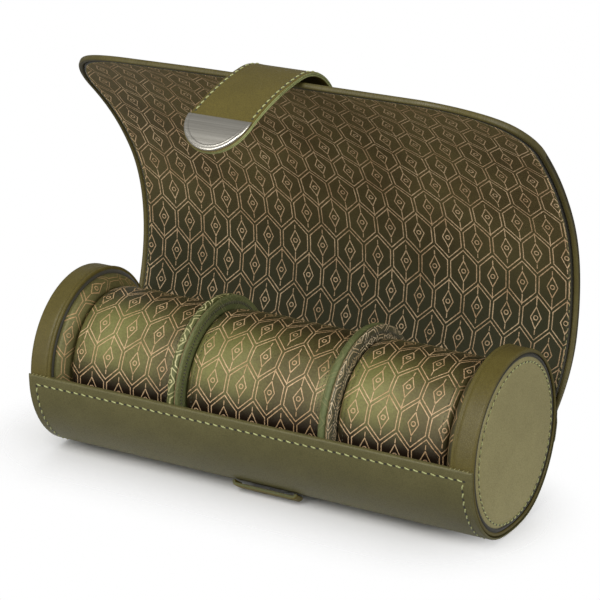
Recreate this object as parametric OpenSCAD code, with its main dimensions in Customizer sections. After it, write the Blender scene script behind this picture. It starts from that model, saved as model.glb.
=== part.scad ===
// Watch travel case: a leather-covered half tube that lies on its side, with three
// cushions between padded dividers, a lid that wraps over it and a closing strap.
// Units are millimetres. +X runs along the tube, +Z is up and -Y is the open front.
// The origin is the centre of the resting flat under the tube.

/* [Tube] */
// Overall length of the tube
case_length = 254; // [230:1:280]
// Outer radius of the leather on the tube
shell_radius = 48; // [46:0.5:50]
// Thickness of the leather on the tube and the ends
leather_thick = 1.2; // [1:0.1:1.4]
// How far the rounded bottom is pressed flat
flat_depth = 2; // [1.6:0.1:2.4]
// Height of the front edge above the tube's axis
front_rise = 2.4; // [1.6:0.1:3.2]
// Length of the leather band round each end
rim_width = 12.6; // [11.6:0.1:14]
// Thickness of the padded disc inside each end
pad_thick = 6.4; // [5:0.1:7]

/* [Cushions and dividers] */
// Radius of the cushions
cushion_radius = 38.4; // [36.5:0.1:39]
// Height of the cushion's underside below the axis
cushion_drop = 12; // [10:0.5:15]
// How far each cushion's ends are drawn in
cushion_draw = 1.8; // [1:0.1:2.5]
// Thickness of a divider
divider_thick = 7.4; // [6.4:0.1:8]
// Centre of the left divider along the tube
divider_left = -42; // [-44:0.5:-38]
// Centre of the right divider along the tube
divider_right = 44.6; // [40:0.2:46]

/* [Lid] */
// Full width of the lid along the tube
lid_width = 257.4; // [256:0.1:262]
// Rounding of the lid's two free corners
lid_corner = 48; // [40:1:52]
// Thickness of the lid
lid_thick = 3.6; // [3.4:0.1:4]
// Width of the turned leather edge round the lid's lining
edge_width = 2.4; // [2:0.1:3]

/* [Strap and keeper] */
// Width of the strap
strap_width = 33.6; // [30:0.2:35]
// Thickness of the strap's two layers together
strap_thick = 2.2; // [2:0.1:2.4]
// Thickness of the metal plate on the strap's tip
cap_thick = 1.4; // [1:0.1:1.6]
// Outer width of the keeper loop
keeper_width = 39.2; // [37:0.2:42]
// Room between the keeper loop and the tube
keeper_gap = 2.4; // [2.2:0.1:2.6]

// Centre of the strap and the keeper along the tube
strap_place = 4; // [-10:0.5:10]

/* [Hidden] */
axis_z = shell_radius - flat_depth;
half_length = case_length / 2;
board_r = shell_radius - leather_thick;
lining_r = board_r - 1.5;
inner_r = lining_r - 0.5;
// Inner ends of the two end bands
band_x = half_length - rim_width;
compartments = [
  [-band_x + pad_thick, divider_left - divider_thick / 2],
  [divider_left + divider_thick / 2, divider_right - divider_thick / 2],
  [divider_right + divider_thick / 2, band_x - pad_thick]
];
olive = [0.36, 0.35, 0.2];
green = [0.42, 0.43, 0.24];
tan_board = [0.62, 0.54, 0.4];
thread_gold = [0.5, 0.42, 0.26];
steel = [0.75, 0.74, 0.72];
foam = [0.8, 0.78, 0.7];
fine = 240;

// The lid is six stiff strips. Each is an arc that turns toward the front by its
// own angle, so that the open lid has its upright S-shaped curve.
size_k = (shell_radius + 0.5) / 48.5;
strip_len = 34.4 * size_k;
strip_turn = [18, 19, 24, 12, 9, 6];
hinge_heading = 30;
lid_start = [shell_radius + 0.5, 0, hinge_heading];
strip_gap = 0.15;
lining_thick = 1;
board_thick = 1.4;
// The strap's stretches: length, and turn toward the front
root_free = [8 * size_k, -29];
link_1 = [42 * size_k, 73];
link_2 = [44 * size_k, 25];
link_3 = [20.5 * size_k, 44];
root_back = 9 * size_k;
root_patch = 12 * size_k;

// A frame is [y, z, heading]; the heading turns from +Z toward +Y.
function ahead(f, len, turn) = let (r = len / (turn * PI / 180))
  [f[0] - r * cos(f[2]) + r * cos(f[2] - turn),
   f[1] + r * sin(f[2]) - r * sin(f[2] - turn), f[2] - turn];
function outward(f, d) = [f[0] + d * cos(f[2]), f[1] - d * sin(f[2]), f[2]];
function strip_frame(i) = i == 0 ? lid_start : ahead(strip_frame(i - 1), strip_len, strip_turn[i - 1]);
root_share = 1 - root_back / strip_len;
root_frame = outward(ahead(strip_frame(4), strip_len * root_share, strip_turn[4] * root_share), lid_thick + 0.1);
link_frame_1 = ahead(root_frame, root_free[0], root_free[1]);
link_frame_2 = ahead(link_frame_1, link_1[0], link_1[1]);
link_frame_3 = ahead(link_frame_2, link_2[0], link_2[1]);

module along_x(x0, x1) {
  translate([x0, 0, axis_z])
    rotate([90, 0, 90])
      linear_extrude(height = x1 - x0)
        children();
}

// A round section with the bottom pressed flat
module flat_disc(r) {
  intersection() {
    circle(r, $fn = fine);
    translate([-2 * r, flat_depth - r])
      square([4 * r, 4 * r]);
  }
}

module flat_ring(ro, ri) {
  difference() {
    flat_disc(ro);
    flat_disc(ri);
  }
}

// The lower half of a ring, up to a front edge and a back edge
module half_ring(ro, ri, front, back) {
  difference() {
    flat_ring(ro, ri);
    translate([-2 * ro, front])
      square([2 * ro, 2 * ro]);
    translate([0, back])
      square([2 * ro, 2 * ro]);
  }
}

// Children stand at a frame with +Z along its heading and +Y outward
module at_frame(f) {
  translate([0, f[0], axis_z + f[1]])
    rotate([-f[2], 0, 0])
      children();
}

// A bent sheet from the frame: wide in X, from height t0 to t1 above the inner face
module bent(len, turn, width, t0, t1, cut0, cut1) {
  r = abs(len / (turn * PI / 180));
  s = turn > 0 ? 1 : -1;
  lo = s > 0 ? t0 : -t1;
  hi = s > 0 ? t1 : -t0;
  a0 = cut0 / r * 180 / PI;
  a1 = abs(turn) - cut1 / r * 180 / PI;
  mirror([0, s > 0 ? 0 : 1, 0])
    translate([0, -r, 0])
      rotate([90, 0, 90])
        rotate([0, 0, a0])
          rotate_extrude(angle = a1 - a0, $fn = 720)
            translate([r + lo, -width / 2])
              square([hi - lo, width]);
}

// The lid's outline as a sheet standing on the frame of one strip
module lid_outline(i, inset) {
  total = 6 * strip_len;
  hw = lid_width / 2;
  rotate([strip_turn[i] / 2, 0, 0])
    translate([0, -20, -i * strip_len])
      rotate([90, 0, 0])
        mirror([0, 0, 1])
          linear_extrude(height = 40)
            union() {
              translate([-hw + inset, -20])
                square([2 * (hw - inset), total - lid_corner + 20]);
              translate([-hw + lid_corner, 0])
                square([2 * (hw - lid_corner), total - inset]);
              for (k = [-1, 1])
                translate([k * (hw - lid_corner), total - lid_corner])
                  circle(lid_corner - inset, $fn = fine);
            }
}

// One strip's layer, trimmed to the outline where the corners are round
module strip_layer(i, inset, t0, t1, end_cut) {
  turn = strip_turn[i];
  if (i < 4) {
    bent(strip_len, turn, lid_width - 2 * inset, t0, t1, strip_gap, end_cut);
  } else {
    intersection() {
      bent(strip_len, turn, lid_width - 2 * inset, t0, t1, strip_gap, end_cut);
      lid_outline(i, inset);
    }
  }
}

module lid_leather(i) {
  color(olive)
    at_frame(strip_frame(i))
      difference() {
        strip_layer(i, 0, 0, lid_thick, i == 5 ? 0 : strip_gap);
        intersection() {
          bent(strip_len, strip_turn[i], lid_width - 2 * edge_width,
            -1, lid_thick - leather_thick, -1, i == 5 ? edge_width : -1);
          lid_outline(i, edge_width);
        }
      }
}

module lid_board(i) {
  color(tan_board)
    at_frame(strip_frame(i))
      strip_layer(i, edge_width + 0.1, lining_thick + 0.1, lid_thick - leather_thick - 0.1,
        i == 5 ? edge_width + 0.1 : strip_gap);
}

module lid_lining(i) {
  color(thread_gold)
    at_frame(strip_frame(i))
      strip_layer(i, edge_width + 0.8, 0.2, lining_thick,
        i == 5 ? edge_width + 0.8 : strip_gap);
}

module shell_leather() {
  color(olive) {
    along_x(-half_length, half_length)
      half_ring(shell_radius, board_r, front_rise, -0.5);
    // turned down over the board's front edge
    along_x(-band_x, band_x)
      intersection() {
        half_ring(board_r + 0.01, inner_r, front_rise, -0.5);
        translate([-2 * shell_radius, front_rise - leather_thick])
          square([2 * shell_radius, 10]);
      }
  }
}

module shell_board() {
  color(tan_board)
    along_x(-band_x + 0.1, band_x - 0.1)
      half_ring(board_r - 0.05, lining_r, front_rise - leather_thick - 0.05, -0.6);
}

module shell_lining() {
  color(thread_gold)
    along_x(-band_x + 0.1, band_x - 0.1)
      half_ring(lining_r - 0.05, inner_r, front_rise - leather_thick - 0.05, -0.6);
}

module hinge_strip() {
  color(olive)
    along_x(-half_length + 3, half_length - 3)
      intersection() {
        difference() {
          circle(shell_radius + 1.3, $fn = fine);
          circle(shell_radius + 0.05, $fn = fine);
        }
        translate([0, -16])
          square([2 * shell_radius, 15]);
      }
}

module keeper() {
  color(green)
    translate([strap_place, 0, 0])
      intersection() {
        difference() {
          along_x(-keeper_width / 2, keeper_width / 2)
            circle(shell_radius + keeper_gap + 1.7, $fn = fine);
          along_x(-keeper_width, keeper_width)
            circle(shell_radius + 0.05, $fn = fine);
          along_x(-keeper_width / 2 + 2.4, keeper_width / 2 - 2.4)
            circle(shell_radius + keeper_gap, $fn = fine);
        }
        translate([0, 0, axis_z])
          rotate([232, 0, 0])
            rotate([90, 0, 90])
              translate([0, 0, -keeper_width])
                rotate_extrude(angle = 9.5, $fn = fine)
                  square([2 * shell_radius, 2 * keeper_width]);
      }
}

// Pieces of one end, drawn for the right end; k = -1 mirrors them to the left
module end_core(k) {
  color(tan_board)
    mirror([k < 0 ? 1 : 0, 0, 0])
      along_x(band_x + 1.05, half_length - 1.75)
        flat_disc(board_r - leather_thick - 0.05);
}

module end_rim(k) {
  color(olive)
    mirror([k < 0 ? 1 : 0, 0, 0]) {
      along_x(band_x, half_length)
        flat_ring(board_r - 0.05, board_r - leather_thick);
      along_x(half_length - 1.2, half_length)
        flat_ring(board_r - leather_thick + 0.01, board_r - 1.8);
      along_x(band_x, band_x + 1)
        flat_ring(board_r - leather_thick + 0.01, inner_r - 4);
    }
}

module end_disc(k) {
  color(green)
    mirror([k < 0 ? 1 : 0, 0, 0])
      along_x(half_length - 1.7, half_length + 0.2)
        flat_disc(board_r - 2.3);
}

module inner_disc(k) {
  r = inner_r - 0.4;
  e = 5;
  color(thread_gold)
    mirror([k < 0 ? 1 : 0, 0, 0])
      intersection() {
        translate([band_x - 0.05, 0, axis_z])
          rotate([0, -90, 0])
            rotate_extrude($fn = fine)
              union() {
                square([r - e, pad_thick - 0.1]);
                square([r, pad_thick - 0.1 - e]);
                translate([r - e, pad_thick - 0.1 - e])
                  intersection() {
                    circle(e, $fn = 96);
                    square([e + 1, e + 1]);
                  }
              }
        along_x(0, half_length)
          flat_disc(r);
      }
}

module divider_core(x) {
  color(tan_board)
    along_x(x - divider_thick / 2 + 1.25, x + divider_thick / 2 - 1.25)
      flat_disc(inner_r - 1.65);
}

// One fabric half of a divider: a shallow cup that ends at the seam in mid rim
module divider_face(x, k) {
  color(thread_gold)
    translate([x, 0, 0])
      mirror([k < 0 ? 1 : 0, 0, 0])
        difference() {
          along_x(0.05, divider_thick / 2)
            flat_disc(inner_r - 0.4);
          along_x(-1, divider_thick / 2 - 1.2)
            flat_disc(inner_r - 1.6);
        }
}

module floor_pad(i) {
  c = compartments[i];
  color(foam)
    along_x(c[0] + 0.3, c[1] - 0.3)
      intersection() {
        flat_disc(inner_r - 0.1);
        translate([-2 * shell_radius, -2 * shell_radius - cushion_drop - 0.3])
          square([4 * shell_radius, 2 * shell_radius]);
      }
}

// A D-shaped ring of points: round over the top, flat below
ring_n = 44;
function d_ring(x, r, drop) = let (a = asin(drop / r))
  [for (i = [0 : ring_n - 1]) let (t = -a + (180 + 2 * a) * i / (ring_n - 1))
    [x, r * cos(t), r * sin(t)]];

// The cushion swells a little in the middle and is drawn in at both ends
module cushion_form(x0, x1, r, drop, draw) {
  steps = [0, 0.012, 0.035, 0.075, 0.14, 0.3, 0.5, 0.7, 0.86, 0.925, 0.965, 0.988, 1];
  n = len(steps);
  pts = [for (s = steps) let (e = pow(abs(2 * s - 1), 14), c = 0.6 * pow(2 * s - 1, 2))
    each d_ring(x0 + (x1 - x0) * s, r - c - draw * e, drop - 0.3 * e)];
  sides = [for (j = [0 : n - 2]) for (i = [0 : ring_n - 1]) let (k = (i + 1) % ring_n)
    [j * ring_n + i, (j + 1) * ring_n + i, (j + 1) * ring_n + k, j * ring_n + k]];
  first = [for (i = [0 : ring_n - 1]) i];
  last = [for (i = [0 : ring_n - 1]) n * ring_n - 1 - i];
  polyhedron(points = pts, faces = concat(sides, [first], [last]));
}

module cushion_core(i) {
  c = compartments[i];
  color(foam)
    along_x(c[0] + 3.3, c[1] - 3.3)
      intersection() {
        circle(cushion_radius - 5, $fn = 120);
        translate([-shell_radius, -cushion_drop + 2])
          square([2 * shell_radius, 2 * shell_radius]);
      }
}

module cushion_cover(i) {
  c = compartments[i];
  color(thread_gold)
    difference() {
      translate([0, 0, axis_z])
        cushion_form(c[0] + 0.35, c[1] - 0.35, cushion_radius, cushion_drop, cushion_draw);
      along_x(c[0] + 3.25, c[1] - 3.25)
        intersection() {
          circle(cushion_radius - 4.95, $fn = 120);
          translate([-shell_radius, -cushion_drop + 1.95])
            square([2 * shell_radius, 2 * shell_radius]);
        }
    }
}

// The strap's tip is a half round; the outline stands on the last stretch
module tip_outline(half, end_gap, back) {
  len = link_3[0];
  rotate([link_3[1] / 2, 0, 0])
    translate([0, -30, 0])
      rotate([90, 0, 0])
        mirror([0, 0, 1])
          linear_extrude(height = 60)
            union() {
              translate([0, len - end_gap - half])
                circle(half, $fn = fine);
              translate([-half, back])
                square([2 * half, len - end_gap - half - back]);
            }
}

module at_strap(f) {
  translate([strap_place, 0, 0])
    at_frame(f)
      children();
}

module link(f, stretch, t0, t1) {
  at_strap(f)
    bent(stretch[0], stretch[1], strap_width, t0, t1, strip_gap, strip_gap);
}

module last_link(t0, t1) {
  at_strap(link_frame_3)
    intersection() {
      bent(link_3[0], link_3[1], strap_width + 6, t0, t1, strip_gap, 0);
      tip_outline(strap_width / 2, 0, -5);
    }
}

back_thick = 1;
face_low = back_thick + 0.05;

module strap_root() {
  color(olive) {
    at_strap(ahead(strip_frame(4), strip_len * root_share - root_patch,
      strip_turn[4] * (root_share - root_patch / strip_len)))
      bent(root_patch, strip_turn[4] * root_patch / strip_len, strap_width,
        lid_thick + 0.1, lid_thick + 0.1 + strap_thick, 0, 0);
    at_strap(root_frame)
      bent(root_free[0], root_free[1], strap_width - 0.2, 0.25, strap_thick - 0.15, -1, strip_gap);
  }
}

module strap_back(i) {
  color(green) {
    if (i == 1) link(link_frame_1, link_1, 0, back_thick);
    if (i == 2) link(link_frame_2, link_2, 0, back_thick);
    if (i == 3) last_link(0, back_thick);
  }
}

module strap_face(i) {
  color(olive) {
    if (i == 1) link(link_frame_1, link_1, face_low, strap_thick);
    if (i == 2) link(link_frame_2, link_2, face_low, strap_thick);
    if (i == 3) last_link(face_low, strap_thick);
  }
}

module strap_cap() {
  color(steel)
    at_strap(link_frame_3)
      intersection() {
        bent(link_3[0], link_3[1], strap_width, strap_thick + 0.05,
          strap_thick + 0.05 + cap_thick, 2.4, 0.5);
        tip_outline(strap_width / 2 - 1.05, 1, -5);
      }
}

module end_core_left() { end_core(-1); }
module end_core_right() { end_core(1); }
module end_rim_left() { end_rim(-1); }
module end_rim_right() { end_rim(1); }
module end_disc_left() { end_disc(-1); }
module end_disc_right() { end_disc(1); }
module inner_disc_left() { inner_disc(-1); }
module inner_disc_right() { inner_disc(1); }
module divider_core_1() { divider_core(divider_left); }
module divider_core_2() { divider_core(divider_right); }
module divider_face_1a() { divider_face(divider_left, -1); }
module divider_face_1b() { divider_face(divider_left, 1); }
module divider_face_2a() { divider_face(divider_right, -1); }
module divider_face_2b() { divider_face(divider_right, 1); }
module floor_pad_1() { floor_pad(0); }
module floor_pad_2() { floor_pad(1); }
module floor_pad_3() { floor_pad(2); }
module cushion_core_1() { cushion_core(0); }
module cushion_core_2() { cushion_core(1); }
module cushion_core_3() { cushion_core(2); }
module cushion_cover_1() { cushion_cover(0); }
module cushion_cover_2() { cushion_cover(1); }
module cushion_cover_3() { cushion_cover(2); }
module lid_leather_1() { lid_leather(0); }
module lid_leather_2() { lid_leather(1); }
module lid_leather_3() { lid_leather(2); }
module lid_leather_4() { lid_leather(3); }
module lid_leather_5() { lid_leather(4); }
module lid_leather_6() { lid_leather(5); }
module lid_board_1() { lid_board(0); }
module lid_board_2() { lid_board(1); }
module lid_board_3() { lid_board(2); }
module lid_board_4() { lid_board(3); }
module lid_board_5() { lid_board(4); }
module lid_board_6() { lid_board(5); }
module lid_lining_1() { lid_lining(0); }
module lid_lining_2() { lid_lining(1); }
module lid_lining_3() { lid_lining(2); }
module lid_lining_4() { lid_lining(3); }
module lid_lining_5() { lid_lining(4); }
module lid_lining_6() { lid_lining(5); }
module strap_back_1() { strap_back(1); }
module strap_back_2() { strap_back(2); }
module strap_back_3() { strap_back(3); }
module strap_face_1() { strap_face(1); }
module strap_face_2() { strap_face(2); }
module strap_face_3() { strap_face(3); }

shell_leather();
shell_board();
shell_lining();
hinge_strip();
keeper();
end_core_left();
end_rim_left();
end_disc_left();
inner_disc_left();
end_core_right();
end_rim_right();
end_disc_right();
inner_disc_right();
divider_core_1();
divider_face_1a();
divider_face_1b();
divider_core_2();
divider_face_2a();
divider_face_2b();
floor_pad_1();
floor_pad_2();
floor_pad_3();
cushion_core_1();
cushion_core_2();
cushion_core_3();
cushion_cover_1();
cushion_cover_2();
cushion_cover_3();
lid_leather_1();
lid_leather_2();
lid_leather_3();
lid_leather_4();
lid_leather_5();
lid_leather_6();
lid_board_1();
lid_board_2();
lid_board_3();
lid_board_4();
lid_board_5();
lid_board_6();
lid_lining_1();
lid_lining_2();
lid_lining_3();
lid_lining_4();
lid_lining_5();
lid_lining_6();
strap_root();
strap_back_1();
strap_back_2();
strap_back_3();
strap_face_1();
strap_face_2();
strap_face_3();
strap_cap();
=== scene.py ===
# Watch travel case in olive leather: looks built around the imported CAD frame.
import math
from functools import partialmethod
import bpy
import numpy as np
from mathutils import Matrix, Vector


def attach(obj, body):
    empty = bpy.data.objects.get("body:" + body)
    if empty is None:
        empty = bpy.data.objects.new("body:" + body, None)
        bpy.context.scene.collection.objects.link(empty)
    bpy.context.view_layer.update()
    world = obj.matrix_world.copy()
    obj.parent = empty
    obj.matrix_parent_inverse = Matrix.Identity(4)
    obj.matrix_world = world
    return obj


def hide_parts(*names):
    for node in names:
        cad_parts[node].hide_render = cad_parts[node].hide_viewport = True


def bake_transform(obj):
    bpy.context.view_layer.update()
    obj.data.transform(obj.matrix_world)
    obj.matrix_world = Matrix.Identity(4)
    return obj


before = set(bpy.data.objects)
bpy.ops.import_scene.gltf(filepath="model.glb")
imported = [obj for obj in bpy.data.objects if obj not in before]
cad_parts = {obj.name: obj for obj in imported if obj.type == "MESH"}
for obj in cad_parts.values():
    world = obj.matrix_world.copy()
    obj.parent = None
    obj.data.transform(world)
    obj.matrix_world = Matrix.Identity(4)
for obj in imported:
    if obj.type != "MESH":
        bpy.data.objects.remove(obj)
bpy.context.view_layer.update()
print("stage: frame loaded")

mm = 0.001  # sizes below are in millimetres, noise scales per metre
tube = {"radius": 48.0, "leather": 1.2, "flat": 2.0, "half": 127.0, "frontRise": 2.4,
        "backRise": -0.5, "rimWidth": 12.6, "padThick": 6.4}
axisZ = tube["radius"] - tube["flat"]


def tone(hexCode):
    # screen colour to linear colour: ((c + 0.055) / 1.055) ^ 2.4, or c / 12.92 near black
    c = np.array([int(hexCode[i:i + 2], 16) for i in (1, 3, 5)]) / 255.0
    c = np.where(c <= 0.04045, c / 12.92, ((c + 0.055) / 1.055) ** 2.4)
    return (float(c[0]), float(c[1]), float(c[2]), 1.0)


class Wire:
    # one socket of a material; arithmetic on it adds Math nodes
    def __init__(self, paint, socket):
        self.paint = paint
        self.socket = socket

    def maths(self, operation, *others):
        # the operation's result on this socket, then the others
        return self.paint.add("ShaderNodeMath", {"operation": operation},
                              dict(enumerate((self,) + others)))

    __add__ = __radd__ = partialmethod(maths, "ADD")
    __mul__ = __rmul__ = partialmethod(maths, "MULTIPLY")
    __sub__ = partialmethod(maths, "SUBTRACT")
    __abs__ = partialmethod(maths, "ABSOLUTE")
    fract = partialmethod(maths, "FRACT")
    low = partialmethod(maths, "MINIMUM")
    high = partialmethod(maths, "MAXIMUM")
    power = partialmethod(maths, "POWER")

    def __rsub__(self, other):
        # the other value less this socket
        return self.paint.add("ShaderNodeMath", {"operation": "SUBTRACT"}, {0: other, 1: self})

    def band(self, a, b, c=0.0, d=1.0):
        # a to b becomes c to d, held at both ends
        return self.paint.add("ShaderNodeMapRange", {"interpolation_type": "SMOOTHSTEP"},
                              {0: self, 1: a, 2: b, 3: c, 4: d})


class Paint:
    # the node tree of one material, or of the world, and the calls that fill it
    def __init__(self, name, kind="materials"):
        self.owner = getattr(bpy.data, kind).new(name)
        self.owner.use_nodes = True
        self.tree = self.owner.node_tree

    def add(self, kind, settings=None, sockets=None, out=0):
        # a node with its settings and inputs made; gives the output of that number
        node = self.tree.nodes.new(kind)
        for key, value in (settings or {}).items():
            setattr(node, key, value)
        self.join(node, sockets or {})
        return Wire(self, node.outputs[out])

    def join(self, node, sockets):
        # each input takes a link from a socket, or a fixed value
        for key, value in sockets.items():
            if isinstance(value, Wire):
                self.tree.links.new(value.socket, node.inputs[key])
            else:
                node.inputs[key].default_value = value

    def mix(self, a, b, share):
        # a times one less the share, plus b times the share
        return self.add("ShaderNodeMix", {"data_type": "RGBA"}, {0: share, 6: a, 7: b}, out=2)

    def dyed(self, tones, spread, low=0.3, high=0.7):
        # from the dark tone to the light one as the spread goes from low to high
        return self.mix(tone(tones[0]), tone(tones[1]), spread.band(low, high))

    def place(self, source):
        # the surface's own coordinates, in metres
        if source == "UV":
            return self.add("ShaderNodeUVMap", {"uv_map": "UVMap"})
        return self.add("ShaderNodeTexCoord", out=3)

    def stretched(self, place, scale):
        # each coordinate times its own scale
        return self.add("ShaderNodeMapping", None, {"Vector": place, "Scale": scale})

    def parts(self, vector):
        # the three coordinates, apart
        split = self.add("ShaderNodeSeparateXYZ", None, {0: vector}).socket.node
        return [Wire(self, socket) for socket in split.outputs]

    def noise(self, place, scale, detail=3.0, rough=0.5):
        # smooth random values with scale waves to a metre, in layers of half the size
        return self.add("ShaderNodeTexNoise", None,
                        {"Vector": place, "Scale": scale, "Detail": detail, "Roughness": rough})

    def cells(self, place, scale, feature="F1"):
        # distance to the nearest of random points, or to the border between two cells
        return self.add("ShaderNodeTexVoronoi", {"feature": feature},
                        {"Vector": place, "Scale": scale})

    def bump(self, height, distance, strength=1.0, under=None):
        # normal leaned by the slope of height times distance, over the normal under it
        sockets = {"Strength": strength, "Distance": distance, "Height": height}
        if under is not None:
            sockets["Normal"] = under
        return self.add("ShaderNodeBump", None, sockets)

    def feed(self, **sockets):
        # the shader's inputs by short names
        names = {"color": "Base Color", "roughness": "Roughness", "metallic": "Metallic",
                 "normal": "Normal", "sheen": "Sheen Weight", "sheenRoughness": "Sheen Roughness",
                 "sheenTint": "Sheen Tint", "specular": "Specular IOR Level", "alpha": "Alpha"}
        self.join(self.tree.nodes["Principled BSDF"],
                  {names[key]: value for key, value in sockets.items()})
        return self.owner


def leatherPaint(name, look, source="UV"):
    # fine pebbled grain: small cells over soft folds, with mottled dye and duller pores
    hide = {"folds": 9.0, "slack": 0.0012, "mottle": 70.0, "fine": 1.7, "poreEdge": 0.18,
            "mottleRough": 0.16, "poreRough": 0.06}
    p = Paint(name)
    at = p.place(source)
    folds = p.noise(at, hide["folds"], 2.0)
    mottle = p.noise(at, hide["mottle"], 4.0, 0.6)
    pores = p.cells(at, look["grain"], "DISTANCE_TO_EDGE").band(0.0, hide["poreEdge"])
    grain = p.noise(at, look["grain"] * hide["fine"], 2.0, 0.6)
    colour = p.dyed(look["tones"], folds * 0.55 + mottle * 0.45)
    colour = p.mix(tone(look["pore"]), colour, pores * 0.35 + 0.65)
    rough = (look["rough"] + (mottle - 0.5) * hide["mottleRough"]
             + (1 - pores) * hide["poreRough"])
    slack = p.bump(folds, hide["slack"], 0.25)
    normal = p.bump(pores * 0.5 + grain * 0.5, look["depth"] * mm, 0.5, slack)
    return p.feed(color=colour, roughness=rough, normal=normal, specular=look["gloss"])


def motif(u, v, lines):
    # tall six-sided cells in staggered rows, drawn in double lines, with a lozenge, a ring and
    # two short spines in each; row borders are zigzags y = row + rise * triangle(x) and the
    # sides upright strokes; the value is the distance to the nearest line, in millimetres
    a, c, rise, tall = lines["across"], lines["row"], lines["rise"], lines["tall"]
    x, y = u * (1000.0 / a), v * (1000.0 / c)
    swing = (abs(x.fract() - 0.5) * 2 - 0.5) * (rise / c)
    lean = 2 * c / math.hypot(1, 2 * rise / a)
    even = abs(((y - swing) * 0.5 + 0.5).fract() - 0.5) * lean
    odd = abs(((y + swing - 1) * 0.5 + 0.5).fract() - 0.5) * lean
    whole = abs((x + 0.5).fract() - 0.5) * a
    half = abs(x.fract() - 0.5) * a
    phase = (y * 0.5).fract()
    first = abs(phase - 0.25) * (2 * c)
    second = abs(phase - 0.75) * (2 * c)

    def nearest(shape):
        # the same shape in the cells of both rows: distances across, to the side, and up
        return shape(half, whole, first).low(shape(whole, half, second))

    side = (c - rise) / 2
    upright = nearest(lambda across, aside, up: aside.high(up - side))
    border = abs(even.low(odd).low(upright) - lines["gap"])
    heart = nearest(lambda across, aside, up: across * tall + up) * (1 / math.hypot(1, tall))
    ring = nearest(lambda across, aside, up: across * across + up * up).power(0.5)
    spine = nearest(lambda across, aside, up:
                    across.high(abs(up - lines["spineAt"]) - lines["spine"]))
    near = border.low(abs(heart - lines["heart"]))
    return near.low(abs(ring - lines["ring"])).low(spine)


def satinPaint(name, look):
    # woven satin: fine twill threads, shot colour, and thin woven lines in copper thread; some
    # looks add painted shade, a painted highlight band or painted light by place on the piece
    weave = {"twill": 0.42, "rib": 0.3, "slub": 900.0, "cloud": 22.0, "wobble": 480.0,
             "broken": 1300.0, "folds": 34.0, "slack": 0.0016, "relief": 0.0002,
             "depth": 0.00006}
    p = Paint(name)
    at = p.place("UV")
    u, v, _ = p.parts(at)
    lines = look["lines"]
    near = motif(u, v, lines) + (p.noise(at, weave["wobble"], 2.0) - 0.5) * 0.4
    line = near.band(lines["width"] * 0.5 - 0.04, lines["width"] * 0.5 + 0.12, 1.0, 0.0)
    line = line * (p.noise(at, weave["broken"], 1.0).band(0.36, 0.52) * 0.4 + 0.6)
    cloudy = p.noise(at, weave["cloud"], 3.0)
    slub = p.noise(at, weave["slub"], 2.0)
    ground = p.dyed(look["tones"], cloudy * 0.7 + slub * 0.3)
    seen = look["lineStrength"]
    if "shade" in look:
        # shot colour and painted shade: the ground turns dark brown where the piece rounds away
        # from a painted highlight band; v runs round it from the bottom
        turn = v * (1000.0 / look["round"]) - look["bright"]
        away = turn.band(0.08, 0.6).high((turn * -1).band(0.35, 1.0, 0.0, 0.85))
        ground = p.mix(ground, tone(look["shade"]), away)
    if "paintedHingeShade" in look:
        # painted shade near the hinge, a darker ground and dimmer lines, and painted light toward
        # the free end; v runs from the hinge to the free end
        run = v * 1000.0
        ground = p.mix(ground, tone(look["paintedHingeShade"]), run.band(35.0, 125.0, 1.0, 0.0))
        ground = p.mix(ground, tone(look["paintedEndLight"]), run.band(125.0, 205.0))
        seen = run.band(30.0, 130.0, 0.55, look["lineStrength"])
    copper = p.dyed(look["copper"], p.noise(at, 60.0, 2.0))
    twill = ((u * 0.8 + v) * (1000.0 / weave["twill"]) * (2 * math.pi)).maths("SINE")
    rib = (v * (1000.0 / weave["rib"]) * (2 * math.pi)).maths("SINE")
    slack = p.bump(p.noise(at, weave["folds"], 2.0), weave["slack"], 0.22)
    cloth = p.bump(twill * 0.5 + rib * 0.3 + slub, weave["depth"], 0.35, slack)
    return p.feed(color=p.mix(ground, copper, line * seen),
                  roughness=look["rough"] + (cloudy - 0.5) * 0.12 + line * 0.1,
                  metallic=look["metal"] - line * (look["metal"] * 0.8),
                  normal=p.bump(line, weave["relief"], 0.6, cloth),
                  specular=look.get("gloss", 0.45), sheen=look["sheen"], sheenRoughness=0.4,
                  sheenTint=tone(look["tones"][1]))


def fibrePaint(name, tones, kind):
    # twisted thread, or the dyed cut edge of leather: fine fibres in two near tones
    p = Paint(name)
    fibre = p.noise(p.place(kind["source"]), kind["scale"], kind["detail"], kind["fray"])
    return p.feed(color=p.dyed(tones, fibre), roughness=kind["rough"], sheen=kind["sheen"],
                  normal=p.bump(fibre, kind["depth"], 0.6))


def brushedPaint(name, look):
    # brushed nickel: long fine scratches across the strap, stretched noise in two widths
    p = Paint(name)
    at = p.place("UV")
    fine = p.noise(p.stretched(at, look["fine"]), 1.0, 5.0, 0.7)
    wide = p.noise(p.stretched(at, look["wide"]), 1.0, 3.0)
    brush = fine * 0.65 + wide * 0.35
    return p.feed(color=p.dyed(look["tones"], brush, 0.35, 0.65), metallic=1.0,
                  roughness=look["rough"] + (brush - 0.5) * 0.12,
                  normal=p.bump(brush, 0.00005, 0.5))


def foamPaint(name, look):
    # open pits: round cells, darker in the middle
    p = Paint(name)
    pits = p.cells(p.place("Object"), look["pits"])
    return p.feed(color=p.dyed(look["tones"], pits, 0.1, 0.6), roughness=0.9,
                  normal=p.bump(pits, 0.0003, 0.5))


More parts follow.
